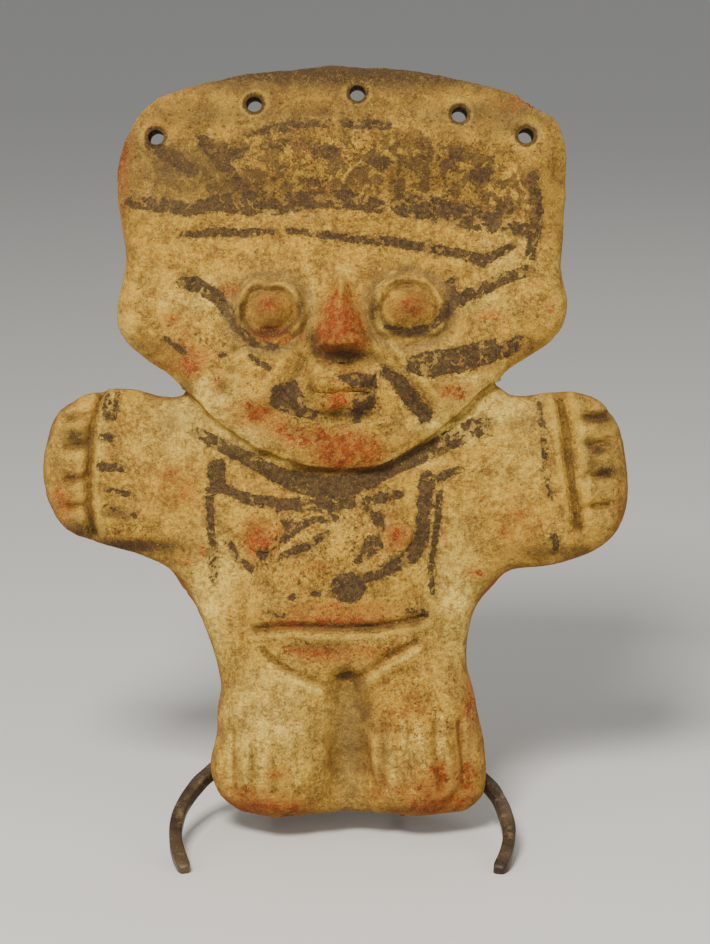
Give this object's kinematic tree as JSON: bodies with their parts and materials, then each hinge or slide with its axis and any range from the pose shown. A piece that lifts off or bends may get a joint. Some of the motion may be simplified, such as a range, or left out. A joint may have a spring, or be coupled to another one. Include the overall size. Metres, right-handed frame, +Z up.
{
  "type": "pottery figure on easel",
  "caption": "Hollow moulded pottery figure with outstretched arms and a pierced headdress, resting on a small folding metal easel.",
  "frame": {"origin": "centre of the bounding box's footprint, on the floor the easel stands on", "axes": "+Z up, the figure faces -Y and leans back 13 degrees, +X to the right as seen from the front"},
  "size_m": [0.2166, 0.1792, 0.2822],
  "materials": {
    "clay": "matte earthenware with buff slip",
    "slip": "matte fired slip",
    "red_clay": "matte red-painted earthenware",
    "bronze": "satin bronzed steel, worn at the edges",
    "rubber": "matte black"
  },
  "bodies": {
    "stand": {"left_front_leg": "bronze", "right_front_leg": "bronze", "left_ledge_prong": "bronze", "right_ledge_prong": "bronze", "left_prong_sleeve": "rubber", "right_prong_sleeve": "rubber", "hub_block": "bronze", "upright_post": "bronze", "back_rest_bar": "bronze", "left_back_bumper": "rubber", "right_back_bumper": "rubber", "hinge_bracket": "bronze", "hinge_pin": "bronze"},
    "figure": {"front_shell": "clay", "back_shell": "clay", "seam_slip": "slip", "nose": "red_clay", "left_eye_ring": "clay", "right_eye_ring": "clay", "left_eye_pellet": "red_clay", "right_eye_pellet": "red_clay", "upper_lip": "clay", "lower_lip": "clay", "left_nipple": "red_clay", "right_nipple": "red_clay"},
    "rear_leg": {"rear_leg": "bronze"}
  },
  "joints": [
    {"name": "figure_lift", "type": "slide", "parent": "stand", "child": "figure", "axis": [0, 0, 1], "range_m": [0, 0.12]},
    {"name": "rear_leg_fold", "type": "hinge", "parent": "stand", "child": "rear_leg", "pos_m": [0.00277, 0.03001, 0.14486], "axis": [-1, 0, 0], "range_deg": [0, 30]}
  ]
}
